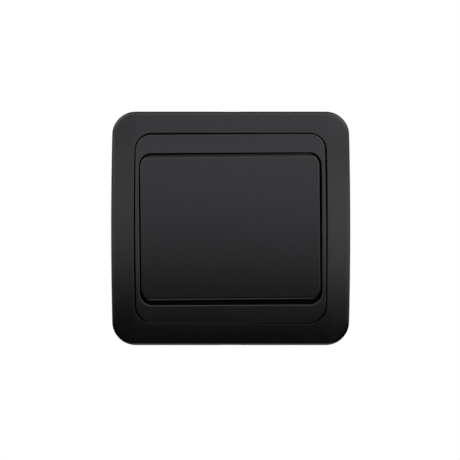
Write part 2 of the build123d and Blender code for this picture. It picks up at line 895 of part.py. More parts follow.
os.makedirs("parts", exist_ok=True)
for name, piece in pieces.items():
    piece.label = name
    export_step(piece, f"parts/{name}.step")
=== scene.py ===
import json
import math

import bmesh
import bpy
from mathutils import Matrix, Vector

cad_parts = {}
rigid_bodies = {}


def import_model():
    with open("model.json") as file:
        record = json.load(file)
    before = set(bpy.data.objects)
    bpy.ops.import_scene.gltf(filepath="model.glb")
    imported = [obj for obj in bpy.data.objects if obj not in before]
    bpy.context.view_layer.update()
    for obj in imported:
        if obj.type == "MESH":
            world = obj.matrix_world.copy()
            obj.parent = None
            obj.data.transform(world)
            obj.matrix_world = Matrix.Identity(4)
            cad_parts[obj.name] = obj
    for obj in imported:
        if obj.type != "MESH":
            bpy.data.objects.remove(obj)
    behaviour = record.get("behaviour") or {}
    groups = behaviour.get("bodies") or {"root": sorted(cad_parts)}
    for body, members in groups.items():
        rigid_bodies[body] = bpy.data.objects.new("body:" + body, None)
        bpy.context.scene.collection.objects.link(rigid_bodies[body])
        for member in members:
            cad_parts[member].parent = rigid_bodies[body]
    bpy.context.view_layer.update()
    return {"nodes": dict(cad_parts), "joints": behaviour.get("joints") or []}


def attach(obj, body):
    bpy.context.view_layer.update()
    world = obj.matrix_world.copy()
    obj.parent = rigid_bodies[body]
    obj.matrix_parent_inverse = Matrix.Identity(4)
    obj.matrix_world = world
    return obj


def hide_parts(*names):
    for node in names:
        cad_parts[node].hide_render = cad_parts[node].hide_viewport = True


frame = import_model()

nodes = frame["nodes"]
MM = 0.001

# Sizes of the three front mouldings, in millimetres, in the CAD frame:
# X right, Y into the wall, Z up, the wall's surface at Y = 0.
# An outline is a width, a height, the bow of its sides and a corner radius.
DOME_RADIUS = 200.0
FRAME_FRONT = 9.5
FRAME_OUTLINE = (82.0, 80.0, 0.6, 7.8)
FRAME_WALL = 1.8
FRAME_DRAFT = math.radians(3.0)
FRAME_EDGE = 0.9
CROWN_HALF_WIDTH = 33.0
CROWN_SLOPE = math.radians(3.5)
PRISE_NOTCH_HALF_WIDTH = 3.5
PRISE_NOTCH_DEPTH = 1.8
PRISE_NOTCH_REACH = 2.7
RIM_CHAMFER = 0.15
CAVITY_CHAMFER = 0.6
SEAM_EDGE = 0.06
SEAT_OUTLINE = (65.9, 65.1, 0.3, 5.85)
LEDGE_OUTLINE = (64.6, 62.2, 0.0, 4.9)
LEDGE_FRONT = 5.2
LEDGE_BACK = 4.0
RIM_OUTLINE = (68.9, 68.1, 0.3, 6.9)

BEZEL_FRONT = 9.7
BEZEL_OUTLINE = (65.0, 64.2, 0.3, 5.4)
BEZEL_EDGE = 0.35
SKIRT_OUTLINE = (64.0, 61.6, 0.0, 4.6)
OPENING = (61.85, 51.7, 0.0, 4.0)
OPENING_DROP = 0.17
LIP_EDGE = 0.3
LIP_BEAD = 0.08
LIP_SLOPE = 0.65
LIP_BACK = 7.7
UNDERCUT = (61.93, 53.1, 0.0, 4.0)
WINDOW = (33.0, 31.0, 0.0, 2.5)
FLOOR_FRONT = 3.2
FLOOR_BACK = 1.8
FLOOR_CHAMFER = 0.3
HOLLOW = (27.5, 29.9)
HOLLOW_HALF_WIDTH = 28.0
HOLLOW_FRONT = 5.7
FLOOR_NOTCH = (25.3, 30.3)
FLOOR_NOTCH_HALF_HEIGHT = 5.0
CUT_SOFT = 0.4
CUT_BEYOND = 0.5
CLAW_HOLE_RADIUS = 4.6
BOSS_RADIUS = 3.4
BOSS_BORE = 1.65
BOSS_SINK = 3.0
BOSS_HOLE = 3.3
BOSS_BACK = 1.0
LIP_BEAD_START = 20.0
LIP_BEAD_RUN = 4.0
LIP_EDGE_START = 18.0
LIP_EDGE_RUN = 6.0
LIP_EDGE_LOSS = 0.2
BEZEL_SKEW = math.radians(-0.3)

KEY_FRONT = 11.0
KEY_BACK = 5.2
KEY_RADIUS = 300.0
KEY_WALL = 1.7
KEY_FACE = (60.92, 50.0, 0.0, 4.0)
KEY_REAR = (61.12, 50.2, 0.0, 4.4)
KEY_BEVEL = 1.0
KEY_EDGE = 0.4
KEY_CREASE = 0.2
KEY_CEILING_ROUND = 0.5
YOKE_RIB_PLACE = 6
YOKE_RIB_HALF_LENGTH = 10.0
YOKE_RIB_BACK = 7.25
LONG_RIB_PLACE = 20
LONG_RIB_HALF_LENGTH = 23.2
LONG_RIB_DEPTHS = (-9.8, -7.4)
RIB_HALF_WIDTH = 0.6
LONG_RIB_HALF_WIDTH = 0.5
CLIP_X = 8.0
CLIP_HALF_WIDTH = 2
CLIP_LEG_PLACE = 12.1
CLIP_HOOK_PLACE = 11.0
CLIP_HOOK_HALF_WIDTH = 0.5
CLIP_HOOK_DEPTHS = (-5.2, -4.2)
CLIP_SOFT = 0.2
KEY_SHIFT = (-0.13, 0.36)
KEY_SKEW = math.radians(-0.55)
REST_TILT = math.radians(3.5)

# Screws: head, thread and where they sit
SCREW_RADIUS = 1.75
THREAD_PITCH = 0.6
THREAD_DEPTH = 0.3
DRIVER_SLOT = 0.9
TERMINAL_HEAD = (2.8, 1.7)
TERMINAL_LENGTH = 6.4
TERMINAL_Y = 12.0
TERMINAL_SEAT = 18.05
CLAW_HEAD = (3.0, 1.6)
CLAW_LENGTH = 21.5
CLAW_SEAT = (22.3, -1.9, -6.0)
BEZEL_SCREW_PLACE = (20.0, 19.0)
BEZEL_SCREW_LENGTH = 5.2
BEZEL_HEAD_RADIUS = 2.85
BEZEL_HEAD_HEIGHT = 1.35
BEZEL_SHANK_RADIUS = 1.5
CROSS_HALF_LENGTH = 1.4
CROSS_HALF_WIDTH = 0.33
CROSS_DEPTH = 0.85
CROSS_SOFT = 0.12
SECOND_SCREW_TURN = 0.6
SCREW_HEAD_ROUND = 0.3
RIVET_PLACE = (14.6, 18.6)
RIVET_HEAD_RADIUS = 1.75
RIVET_HEAD_SEAT = -1.06
RIVET_HEAD_HEIGHT = 0.49

# The picture: how wide the view is at the wall, where it is centred, and how far away the camera stands
VIEW_WIDTH = 0.1576
VIEW_CENTRE = (-0.00024, -0.00058)
CAMERA_DISTANCE = 1.2
LAMP = 0.8
LAMP_SIZE = math.radians(5.5)
LAMP_HEIGHT = 0.255
FLOOR_LEVEL = -0.9
FLOOR_RADIUS = 0.4


# ---------------------------------------------------------------- mesh helpers
def outline(width, height, bulge, corner, drop=0.0, corner_steps=12, side_steps=16):
    """Closed row of (x, z) points round a rectangle with round corners and bowed left and right sides."""
    half_w = width / 2 - bulge
    half_h = height / 2
    points = []
    for quarter in range(4):
        turn = quarter * math.pi / 2
        centre_x = (half_w - corner) * (1 if quarter in (0, 3) else -1)
        centre_z = (half_h - corner) * (1 if quarter in (0, 1) else -1)
        for step in range(corner_steps + 1):
            angle = turn + step / corner_steps * math.pi / 2
            points.append((centre_x + corner * math.cos(angle), centre_z + corner * math.sin(angle)))
        run = (half_w if quarter in (0, 2) else half_h) - corner
        run_x, run_z = ((-1, 0), (0, -1), (1, 0), (0, 1))[quarter]
        start = points[-1]
        for step in range(1, side_steps):
            along = 2 * run * step / side_steps
            points.append((start[0] + run_x * along, start[1] + run_z * along))
    bowed = []
    for x, z in points:
        bow = bulge * (1 - (z / half_h) ** 2) * x / half_w
        bowed.append((x + bow, z - drop))
    return bowed


def inset(points, distance):
    """The row of points moved inwards; distance is a number or a function of (x, z)."""
    moved = []
    count = len(points)
    for i, (x, z) in enumerate(points):
        before = points[i - 1]
        after = points[(i + 1) % count]
        along = Vector((after[0] - before[0], after[1] - before[1])).normalized()
        by = distance(x, z) if callable(distance) else distance
        moved.append((x - along.y * by, z + along.x * by))
    return moved


def mix(first, second, share):
    """The row of points at a share of the way between two rows."""
    return [(a[0] + (b[0] - a[0]) * share, a[1] + (b[1] - a[1]) * share) for a, b in zip(first, second)]


def clamped(value, low, high):
    return min(max(value, low), high)


def band(middle, half):
    """The two limits of a stretch, from its middle and half its length."""
    return (middle - half, middle + half)


def sag(z, radius):
    """How far a front that bows about the X axis has fallen back at the height z."""
    return radius - math.sqrt(radius * radius - z * z)


def ring(points, depth):
    """Row of 3D points in metres; depth is a Y in millimetres or a function of (x, z)."""
    row = []
    for x, z in points:
        y = depth(x, z) if callable(depth) else depth
        row.append(Vector((x, y, z)) * MM)
    return row


class Form:
    """A mesh that is put together from rows of points and blocks."""

    def __init__(self):
        self.mesh = bmesh.new()

    def rows(self, rings, closed=False, capped=False):
        """Skin through rows of points. Closed joins the last row to the first, capped fills both ends."""
        rows = [[self.mesh.verts.new(p) for p in row] for row in rings]
        pairs = list(zip(rows, rows[1:]))
        if closed:
            pairs.append((rows[-1], rows[0]))
        for low, high in pairs:
            count = len(low)
            for i in range(count):
                j = (i + 1) % count
                self.mesh.faces.new((low[i], low[j], high[j], high[i]))
        if capped:
            self.mesh.faces.new(rows[0])
            self.mesh.faces.new(rows[-1])
        return self

    def block(self, x, y, z, soft=0.15):
        """Box between pairs of limits in millimetres, its edges rounded."""
        size = Vector((x[1] - x[0], y[1] - y[0], z[1] - z[0])) * MM
        middle = Vector((x[1] + x[0], y[1] + y[0], z[1] + z[0])) * MM / 2
        place = Matrix.Translation(middle) @ Matrix.Diagonal((*size, 1.0))
        corners = bmesh.ops.create_cube(self.mesh, size=1.0, matrix=place)["verts"]
        edges = {edge for corner in corners for edge in corner.link_edges}
        bmesh.ops.bevel(
            self.mesh, geom=list(edges), offset=soft * MM, segments=2, affect="EDGES", profile=0.5)
        return self

    def piece(self, name, crease=50):
        """The finished object. Edges sharper than the crease angle, in degrees, stay sharp."""
        bmesh.ops.recalc_face_normals(self.mesh, faces=self.mesh.faces)
        data = bpy.data.meshes.new(name)
        self.mesh.to_mesh(data)
        self.mesh.free()
        made = bpy.data.objects.new(name, data)
        bpy.context.scene.collection.objects.link(made)
        return smooth(made, crease)


def smooth(piece, crease=50):
    for face in piece.data.polygons:
        face.use_smooth = True
    piece.data.set_sharp_from_angle(angle=math.radians(crease))
    return piece


def cut(piece, tool):
    """Takes the tool's shape out of the piece, and the tool away."""
    change = piece.modifiers.new("cut", "BOOLEAN")
    change.operation = "DIFFERENCE"
    change.solver = "EXACT"
    change.object = tool
    bpy.context.view_layer.update()
    data = bpy.data.meshes.new_from_object(piece.evaluated_get(bpy.context.evaluated_depsgraph_get()))
    piece.modifiers.clear()
    piece.data = data
    bpy.data.objects.remove(tool)
    close_gaps(data)
    return smooth(piece)


def close_gaps(data):
    """Fills the single triangles that a cut can leave open along the edge of a hole."""
    mesh = bmesh.new()
    mesh.from_mesh(data)
    open_edges = [edge for edge in mesh.edges if edge.is_boundary]
    if open_edges:
        bmesh.ops.holes_fill(mesh, edges=open_edges, sides=3)
        bmesh.ops.recalc_face_normals(mesh, faces=list(mesh.faces))
        mesh.to_mesh(data)
    mesh.free()


def add(piece, other):
    """Joins two objects into one, and keeps the first one's name."""
    mesh = bmesh.new()
    mesh.from_mesh(piece.data)
    mesh.from_mesh(other.data)
    mesh.to_mesh(piece.data)
    mesh.free()
    bpy.data.objects.remove(other)
    return smooth(piece)


def turned(profile, centre, steps=40):
    """Rows of a shape lathed about the Y direction: pairs of radius and Y, about a centre in X and Z."""
    rows = []
    for radius, along in profile:
        row = []
        for step in range(steps):
            angle = step / steps * 2 * math.pi
            across, up = radius * math.cos(angle), radius * math.sin(angle)
            row.append(Vector((centre[0] + across, along, centre[1] + up)) * MM)
        rows.append(row)
    return rows


def round_over(base, radius, front, inwards=1, steps=7):
    """Rows that turn from a wall onto a front: base is the wall's outline, front its depth function.
    The radius is a number or a function of (x, z)."""
    size = radius if callable(radius) else lambda x, z: radius
    rows = []
    for step in range(steps + 1):
        angle = step / steps * math.pi / 2
        across, down = inwards * (1 - math.cos(angle)), 1 - math.sin(angle)
        turned_row = inset(base, lambda x, z, across=across: across * size(x, z))
        rows.append(ring(turned_row, lambda x, z, down=down: front(x, z) + down * size(x, z)))
    return rows


# ---------------------------------------------------------------- front mouldings
def frame_front(x, z):
    """Domed middle, with side strips that fall away outwards."""
    dome = sag(z, DOME_RADIUS) - FRAME_FRONT
    strip = dome / math.cos(CROWN_SLOPE) + (abs(x) - CROWN_HALF_WIDTH) * math.tan(CROWN_SLOPE)
    return max(dome, strip)


def bezel_front(x, z):
    return sag(z, DOME_RADIUS) - BEZEL_FRONT


def lip_front(x, z):
    """The bezel's front where it rises a little towards the upper side of the key's opening."""
    return bezel_front(x, z) - LIP_BEAD * clamped((z - LIP_BEAD_START) / LIP_BEAD_RUN, 0.0, 1.0)


def lip_edge(x, z):
    """Radius of the lip round the key's opening: smaller along its upper side."""
    return LIP_EDGE - LIP_EDGE_LOSS * clamped((z - LIP_EDGE_START) / LIP_EDGE_RUN, 0.0, 1.0)


def key_front(x, z):
    """Bowed face that turns over a soft crease into a flat bevel at its upper and lower ends."""
    flat = KEY_FACE[1] / 2 - KEY_BEVEL
    beyond = abs(z) - flat
    bowed = sag(min(abs(z), flat), KEY_RADIUS) - KEY_FRONT
    if beyond < -KEY_CREASE:
        return bowed
    if beyond > KEY_CREASE:
        return bowed + beyond
    return bowed + (beyond + KEY_CREASE) ** 2 / (4 * KEY_CREASE)


def make_outer_frame():
    """Shell with drafted sides, a rounded front edge, a domed face and a stepped opening for the bezel."""
    outer = outline(*FRAME_OUTLINE)
    seat = outline(*SEAT_OUTLINE)
    wall_top = inset(outer, lambda x, z: math.tan(FRAME_DRAFT) * -(frame_front(x, z) + FRAME_EDGE))
    rows = []
    for share in (0.0, 0.03, 0.25, 0.5, 0.75, 0.95):
        depth = lambda x, z, share=share: share * (frame_front(x, z) + FRAME_EDGE)
        rows.append(ring(mix(outer, wall_top, share), depth))
    rows += round_over(wall_top, FRAME_EDGE, frame_front)
    face_outer = inset(wall_top, FRAME_EDGE)
    face_inner = inset(seat, -SEAM_EDGE)
    for share in (0.02, 0.2, 0.4, 0.6, 0.8, 0.9, 0.94, 0.98, 1.0):
        rows.append(ring(mix(face_outer, face_inner, share), frame_front))
    rows += reversed(round_over(seat, SEAM_EDGE, frame_front, inwards=-1, steps=4)[:-1])
    back = outline(*RIM_OUTLINE)
    ledge = outline(*LEDGE_OUTLINE)
    under = lambda x, z: frame_front(x, z) + FRAME_WALL
    cavity = inset(outer, FRAME_WALL)
    rows.append(ring(seat, -LEDGE_FRONT))
    rows.append(ring(ledge, -LEDGE_FRONT))
    rows.append(ring(ledge, -LEDGE_BACK))
    rows.append(ring(back, -LEDGE_BACK))
    rows.append(ring(back, under))
    rows.append(ring(inset(cavity, CAVITY_CHAMFER), under))
    rows.append(ring(cavity, lambda x, z: under(x, z) + CAVITY_CHAMFER))
    rows.append(ring(cavity, -RIM_CHAMFER))
    rows.append(ring(inset(outer, FRAME_WALL - RIM_CHAMFER), 0.0))
    shell = Form().rows(rows, closed=True).piece("outer_frame_shell")
    # notches in the upper and lower rim, where a screwdriver lifts the frame off the wall
    notches = Form()
    half_height = FRAME_OUTLINE[1] / 2
    for side in (-1, 1):
        across = band(0.0, PRISE_NOTCH_HALF_WIDTH)
        reach = sorted((side * (half_height - PRISE_NOTCH_REACH), side * (half_height + PRISE_NOTCH_REACH)))
        notches.block(across, (-PRISE_NOTCH_DEPTH, 1.0), reach, 0.3)
    return cut(shell, notches.piece("notches"))


def make_trim_bezel():
    """Inner frame: domed strips, a small rounded lip round the key's opening, and a floor with a window."""
    outer = outline(*BEZEL_OUTLINE)
    opening = outline(*OPENING, drop=OPENING_DROP)
    undercut = outline(*UNDERCUT, drop=OPENING_DROP)
    window = outline(*WINDOW)
    skirt = outline(*SKIRT_OUTLINE)
    rows = [ring(outer, -LEDGE_FRONT)]
    rows += round_over(outer, BEZEL_EDGE, bezel_front, steps=5)
    face_outer = inset(outer, BEZEL_EDGE)
    face_inner = inset(opening, -LIP_SLOPE)
    for share in (0.03, 0.3, 0.6, 0.9, 1.0):
        rows.append(ring(mix(face_outer, face_inner, share), bezel_front))
    rows += reversed(round_over(opening, lip_edge, lip_front, inwards=-1, steps=5))
    rows.append(ring(opening, -LIP_BACK))
    rows.append(ring(undercut, -LIP_BACK))
    rows.append(ring(undercut, -FLOOR_FRONT - FLOOR_CHAMFER))
    rows.append(ring(inset(undercut, FLOOR_CHAMFER), -FLOOR_FRONT))
    rows.append(ring(window, -FLOOR_FRONT))
    rows.append(ring(window, -FLOOR_BACK))
    rows.append(ring(skirt, -FLOOR_BACK))
    rows.append(ring(skirt, -LEDGE_FRONT))
    moulding = Form().rows(rows, closed=True).piece("trim_bezel_moulding")
    # hollows behind the strips and notches for the wall box's screws, then holes for the claws' screws
    openings = Form()
    claw_holes = Form()
    through = (-FLOOR_FRONT - CUT_BEYOND, 0.0)
    claw_x, _, claw_z = CLAW_SEAT
    screw_x, screw_z = BEZEL_SCREW_PLACE
    for side in (-1, 1):
        hollow = sorted(side * edge for edge in HOLLOW)
        notch = sorted(side * edge for edge in FLOOR_NOTCH)
        openings.block(band(0.0, HOLLOW_HALF_WIDTH), (-HOLLOW_FRONT, 0.0), hollow, CUT_SOFT)
        openings.block(notch, through, band(0.0, FLOOR_NOTCH_HALF_HEIGHT), CUT_SOFT)
        claw_hole = [(CLAW_HOLE_RADIUS, depth) for depth in through]
        claw_holes.rows(turned(claw_hole, (side * claw_x, claw_z)), capped=True)
    moulding = cut(moulding, openings.piece("openings"))
    moulding = cut(moulding, claw_holes.piece("claw_holes"))
    for side in (-1, 1):
        # boss that stands on the support plate, with its countersunk hole
        centre = (side * screw_x, side * screw_z)
        face = -FLOOR_FRONT - 0.01
        boss = ((BOSS_BORE, -BOSS_BACK), (BOSS_BORE, -1.85), (BOSS_SINK, face), (3.25, face))
        boss += ((BOSS_RADIUS, -FLOOR_FRONT + 0.15), (BOSS_RADIUS, -1.2), (3.2, -BOSS_BACK))
        hole = Form().rows(turned([(BOSS_HOLE, depth) for depth in through], centre), capped=True)
        moulding = cut(moulding, hole.piece("hole"))
        moulding = add(moulding, Form().rows(turned(boss, centre), closed=True).piece("boss"))
    return moulding


def make_rocker_key():
    """Key: drafted walls, a rounded edge, a bowed face with bevelled ends, and a hollow back."""
    span = KEY_FRONT - KEY_BACK
    face = outline(*KEY_FACE)
    rear = outline(*KEY_REAR)
    wall_top = []
    for low, high in zip(rear, face):
        share = -(key_front(*high) + KEY_EDGE + KEY_BACK) / span
        wall_top.append((low[0] + (high[0] - low[0]) * share, low[1] + (high[1] - low[1]) * share))
    hollow_rear = inset(rear, KEY_WALL)
    hollow_top = inset(wall_top, KEY_WALL)
    ceiling = lambda x, z: key_front(x, z) + KEY_WALL
    rows = []
    for share in (0.4, 0.85):
        rows.append(ring([(x * share, z * share) for x, z in hollow_top], ceiling))
    rows.append(ring(inset(hollow_top, KEY_CEILING_ROUND), ceiling))
    rows.append(ring(hollow_top, lambda x, z: ceiling(x, z) + KEY_CEILING_ROUND))
    rows.append(ring(hollow_rear, -KEY_BACK))
    rows.append(ring(inset(rear, RIM_CHAMFER), -KEY_BACK))
    rows.append(ring(rear, -KEY_BACK - RIM_CHAMFER))
    for share in (0.1, 0.5, 0.95):
        depth = lambda x, z, share=share: -KEY_BACK + share * (key_front(x, z) + KEY_EDGE + KEY_BACK)
        rows.append(ring(mix(rear, wall_top, share), depth))
    rows += round_over(wall_top, KEY_EDGE, key_front, steps=6)
    for distance in (0.5, 0.75, 0.85, 0.92, 1.0, 1.08, 1.15, 1.25, 1.5, 2.0):
        rows.append(ring(inset(wall_top, distance), key_front))
    flat = inset(wall_top, 2.0)
    for share in (0.9, 0.8, 0.7, 0.6, 0.5, 0.4, 0.3, 0.2, 0.1, 0.03):
        rows.append(ring([(x * share, z * share) for x, z in flat], key_front))
    key = Form().rows(rows, capped=True)
    inside = -(KEY_FRONT - KEY_WALL) - 0.1
    for side in (-1, 1):
        # cross rib on the yoke, long rib beside it, and two clip legs with their hooks
        rib = band(side * YOKE_RIB_PLACE, RIB_HALF_WIDTH)
        key.block(band(0.0, YOKE_RIB_HALF_LENGTH), (inside, -YOKE_RIB_BACK), rib)
        long_rib = band(side * LONG_RIB_PLACE, LONG_RIB_HALF_WIDTH)
        key.block(long_rib, LONG_RIB_DEPTHS, band(0.0, LONG_RIB_HALF_LENGTH))
        leg = band(side * CLIP_LEG_PLACE, RIB_HALF_WIDTH)
        hook = band(side * CLIP_HOOK_PLACE, CLIP_HOOK_HALF_WIDTH)
        for x in (-CLIP_X, CLIP_X):
            key.block(band(x, CLIP_HALF_WIDTH), (inside, CLIP_HOOK_DEPTHS[1]), leg, CLIP_SOFT)
            key.block(band(x, CLIP_HALF_WIDTH), CLIP_HOOK_DEPTHS, hook, CLIP_SOFT)
    return key.piece("rocker_key_moulding")


# ---------------------------------------------------------------- screws, rivets and soft edges
def threaded(radius, start, end, steps=30):
    """Threaded rod along Y. The thread runs out at both ends, and the tip is chamfered."""
    form = Form()
    mesh = form.mesh
    root = radius - THREAD_DEPTH
    stop = end - 0.4
    profile = ((0.0, 0.0), (0.14, 0.0), (0.46, 1.0), (0.62, 1.0))
    turns = math.ceil((stop - start) / THREAD_PITCH) + 2
    strip = []
    for k in range(turns * steps + 1):
        angle = k / steps * 2 * math.pi
        for share, sink in profile:
            along = start + (k / steps + share - 1) * THREAD_PITCH
            fade = clamped(min(along - start, stop - along) / (0.8 * THREAD_PITCH), 0.0, 1.0)
            reach = root + (1 - sink) * fade * THREAD_DEPTH
            place = Vector((reach * math.cos(angle), clamped(along, start, stop), reach * math.sin(angle)))
            strip.append(mesh.verts.new(place * MM))
    wide = len(profile)
    for k in range(turns * steps):
        for m in range(wide):
            low, high = k * wide + m, (k + 1) * wide + m
            over = 1 if m < wide - 1 else steps * wide - m
            if high + over < len(strip):
                mesh.faces.new((strip[low], strip[high], strip[high + over], strip[low + over]))
    bmesh.ops.remove_doubles(mesh, verts=mesh.verts, dist=1e-6 * THREAD_PITCH)
    bmesh.ops.dissolve_degenerate(mesh, edges=mesh.edges, dist=1e-6 * THREAD_PITCH)
    bmesh.ops.holes_fill(mesh, edges=[e for e in mesh.edges if e.is_boundary], sides=0)
    tip = ((root, stop - 0.05), (root, stop), (root - 0.35, end))
    form.rows(turned(tip, (0, 0), steps=steps), capped=True)
    return form.piece("thread", crease=70)


def slotted_screw(head, length, name):
    """Cheese-head screw along Y, its seat at Y = 0 and its head in front of it."""
    radius, height = head
    soft = SCREW_HEAD_ROUND
    profile = [(SCREW_RADIUS - 0.5, 0.0), (radius - 0.1, 0.0), (radius, -0.1)]
    for step in range(6):
        angle = step / 5 * math.pi / 2
        profile.append((radius - soft * (1 - math.cos(angle)), -height + soft * (1 - math.sin(angle))))
    profile.append((0.4, -height))
    top = Form().rows(turned(profile, (0, 0)), capped=True).piece(name)
    depths = (-height - 1, -0.45 * height)
    slot = Form().block(band(0.0, radius + 1), depths, band(0.0, DRIVER_SLOT / 2), 0.05)
    top = cut(top, slot.piece("slot"))
    return add(top, threaded(SCREW_RADIUS, -0.3, length))


def cross_screw(name):
    """Countersunk screw along Y with a cross recess, the top of its head at Y = 0."""
    shank = BEZEL_SHANK_RADIUS + 0.05
    edge = 0.08
    profile = [(0.5, 0.0), (BEZEL_HEAD_RADIUS - 2 * edge, 0.0), (BEZEL_HEAD_RADIUS - edge, edge)]
    profile += [(shank, BEZEL_HEAD_HEIGHT), (shank - 0.3, BEZEL_HEAD_HEIGHT)]
    top = Form().rows(turned(profile, (0, 0)), capped=True).piece(name)
    long, narrow = band(0.0, CROSS_HALF_LENGTH), band(0.0, CROSS_HALF_WIDTH)
    for across, up in ((long, narrow), (narrow, long)):
        top = cut(top, Form().block(across, (-1, CROSS_DEPTH), up, CROSS_SOFT).piece("slot"))
    funnel = ((0.95, -0.2), (0.95, 0.0), (0.2, 1.0))
    top = cut(top, Form().rows(turned(funnel, (0, 0), steps=24), capped=True).piece("funnel"))
    return add(top, threaded(BEZEL_SHANK_RADIUS, BEZEL_HEAD_HEIGHT - 0.2, BEZEL_SCREW_LENGTH))


def moved(piece, matrix):
    piece.data.transform(matrix)
    return piece


def copied(piece):
    made = piece.copy()
    made.data = piece.data.copy()
    bpy.context.scene.collection.objects.link(made)
    return made


def make_terminal_screw(side):
    """Terminal screw, its head facing up or down."""
    seat = Matrix.Translation(Vector((0, TERMINAL_Y, side * TERMINAL_SEAT)) * MM)
    turn = Matrix.Rotation(math.radians(-90 * side), 4, "X")
    return moved(slotted_screw(TERMINAL_HEAD, TERMINAL_LENGTH, "terminal_screw"), seat @ turn)


def make_claw_screw(side):
    x, y, z = CLAW_SEAT
    seat = Matrix.Translation(Vector((side * x, y, z)) * MM)
    return moved(slotted_screw(CLAW_HEAD, CLAW_LENGTH, "claw_screw"), seat)


def make_bezel_screws():
    """The two screws that hold the bezel on the support plate."""
    x, z = BEZEL_SCREW_PLACE
    first = cross_screw("bezel_screw_pair")
    second = copied(first)
    moved(first, Matrix.Translation(Vector((x, -FLOOR_FRONT, z)) * MM))
    turn = Matrix.Rotation(SECOND_SCREW_TURN, 4, "Y")
    moved(second, Matrix.Translation(Vector((-x, -FLOOR_FRONT, -z)) * MM) @ turn)
    return place_bezel(add(first, second))


def make_plate_rivets():
    """Four round-head rivets through the support plate into the base."""
    profile = [(1.0, 4.0), (1.2, 3.8), (1.2, -1.0), (1.7, -1.0), (RIVET_HEAD_RADIUS, RIVET_HEAD_SEAT)]
    for step in range(1, 6):
        angle = step / 6 * math.pi / 2
        height = RIVET_HEAD_SEAT - RIVET_HEAD_HEIGHT * math.sin(angle)
        profile.append((RIVET_HEAD_RADIUS * math.cos(angle), height))
    form = Form()
    for x in (-RIVET_PLACE[0], RIVET_PLACE[0]):
        for z in (-RIVET_PLACE[1], RIVET_PLACE[1]):
            form.rows(turned(profile, (x, z), steps=32), capped=True)
    return form.piece("round_head_rivets")


def soften(node, width):
    """The node's own shape with its sharp edges rounded by a width in millimetres."""
    source = nodes[node]
    mesh = bmesh.new()
    mesh.from_mesh(source.data)
    mesh.transform(source.matrix_world)
    bmesh.ops.remove_doubles(mesh, verts=mesh.verts, dist=0.001 * MM)
    bmesh.ops.dissolve_limit(mesh, angle_limit=math.radians(1), verts=mesh.verts, edges=mesh.edges)
    data = bpy.data.meshes.new(node + "_soft")
    mesh.to_mesh(data)
    mesh.free()
    piece = bpy.data.objects.new(node + "_soft", data)
    bpy.context.scene.collection.objects.link(piece)
    edges = piece.modifiers.new("edges", "BEVEL")
    edges.limit_method = "ANGLE"
    edges.angle_limit = math.radians(35)
    edges.width = width * MM
    edges.segments = 2
    edges.harden_normals = True
    smooth(piece, 35)
    bpy.context.view_layer.update()
    piece.data = bpy.data.meshes.new_from_object(piece.evaluated_get(bpy.context.evaluated_depsgraph_get()))
    piece.modifiers.clear()
    return piece


def place_bezel(piece):
    """Turns a piece modelled square with the frame by the bezel's small misfit."""
    piece.data.transform(Matrix.Rotation(BEZEL_SKEW, 4, "Y"))
    return piece


def place_key(piece):
    """Puts a piece modelled in the key's own middle position where the key stands at rest."""
    pivot = next(j for j in frame["joints"] if j["name"] == "rocker_tilt")["pos_m"]
    seat = Matrix.Translation((KEY_SHIFT[0] * MM, 0, KEY_SHIFT[1] * MM)) @ Matrix.Rotation(KEY_SKEW, 4, "Y")
    about = Matrix.Translation(pivot)
    tilt = about @ Matrix.Rotation(REST_TILT, 4, "X") @ about.inverted()
    piece.data.transform(tilt @ seat)
    return piece


# ---------------------------------------------------------------- materials
class Nodes:
    """Short names for the nodes of one node tree. The tree's own coordinate is kept in where."""

    def __init__(self, tree, coordinate):
        self.tree = tree
        self.where = self.add("ShaderNodeTexCoord").outputs[coordinate]

    def add(self, kind, **settings):
        node = self.tree.nodes.new(kind)
        for key, value in settings.items():
            setattr(node, key, value)
        return node

    def link(self, source, target):
        self.tree.links.new(source, target)

    def noise(self, scale, detail=3.0, roughness=0.5):
        node = self.add("ShaderNodeTexNoise")
        node.inputs["Scale"].default_value = scale
        node.inputs["Detail"].default_value = detail
        node.inputs["Roughness"].default_value = roughness
        self.link(self.where, node.inputs["Vector"])
        return node.outputs["Fac"]

    def spread(self, source, low, high, start=0.3, end=0.7):
        """Source values between start and end, turned into low to high."""
        node = self.add("ShaderNodeMapRange")
        for socket, value in zip(("From Min", "From Max", "To Min", "To Max"), (start, end, low, high)):
            node.inputs[socket].default_value = value
        self.link(source, node.inputs["Value"])
        return node.outputs["Result"]

    def curve(self, source, stops, top=2.0):
        """Source values turned into others along straight lines between the stops."""
        first, last = stops[0][0], stops[-1][0]
        node = self.add("ShaderNodeValToRGB")
        ramp = node.color_ramp
        while len(ramp.elements) < len(stops):
            ramp.elements.new(0.5)
        for element, (place, value) in zip(ramp.elements, stops):
            element.position = (place - first) / (last - first)
            element.color = (value / top, value / top, value / top, 1.0)
        self.link(self.spread(source, 0.0, 1.0, first, last), node.inputs["Fac"])
        return self.math("MULTIPLY", node.outputs["Color"], top)

    def colours(self, source, stops):
        node = self.add("ShaderNodeValToRGB")
        ramp = node.color_ramp
        while len(ramp.elements) < len(stops):
            ramp.elements.new(0.5)
        for element, (place, colour) in zip(ramp.elements, stops):
            element.position = place
            element.color = (*colour, 1.0)
        self.link(source, node.inputs["Fac"])
        return node.outputs["Color"]

    def bump(self, height, strength, distance, under=None):
        node = self.add("ShaderNodeBump")
        node.inputs["Strength"].default_value = strength
        node.inputs["Distance"].default_value = distance
        self.link(height, node.inputs["Height"])
        if under is not None:
            self.link(under, node.inputs["Normal"])
        return node.outputs["Normal"]

    def math(self, operation, *values):
        node = self.add("ShaderNodeMath", operation=operation)
        for socket, value in zip(node.inputs, values):
            if isinstance(value, (int, float)):
                socket.default_value = value
            else:
                self.link(value, socket)
        return node.outputs["Value"]


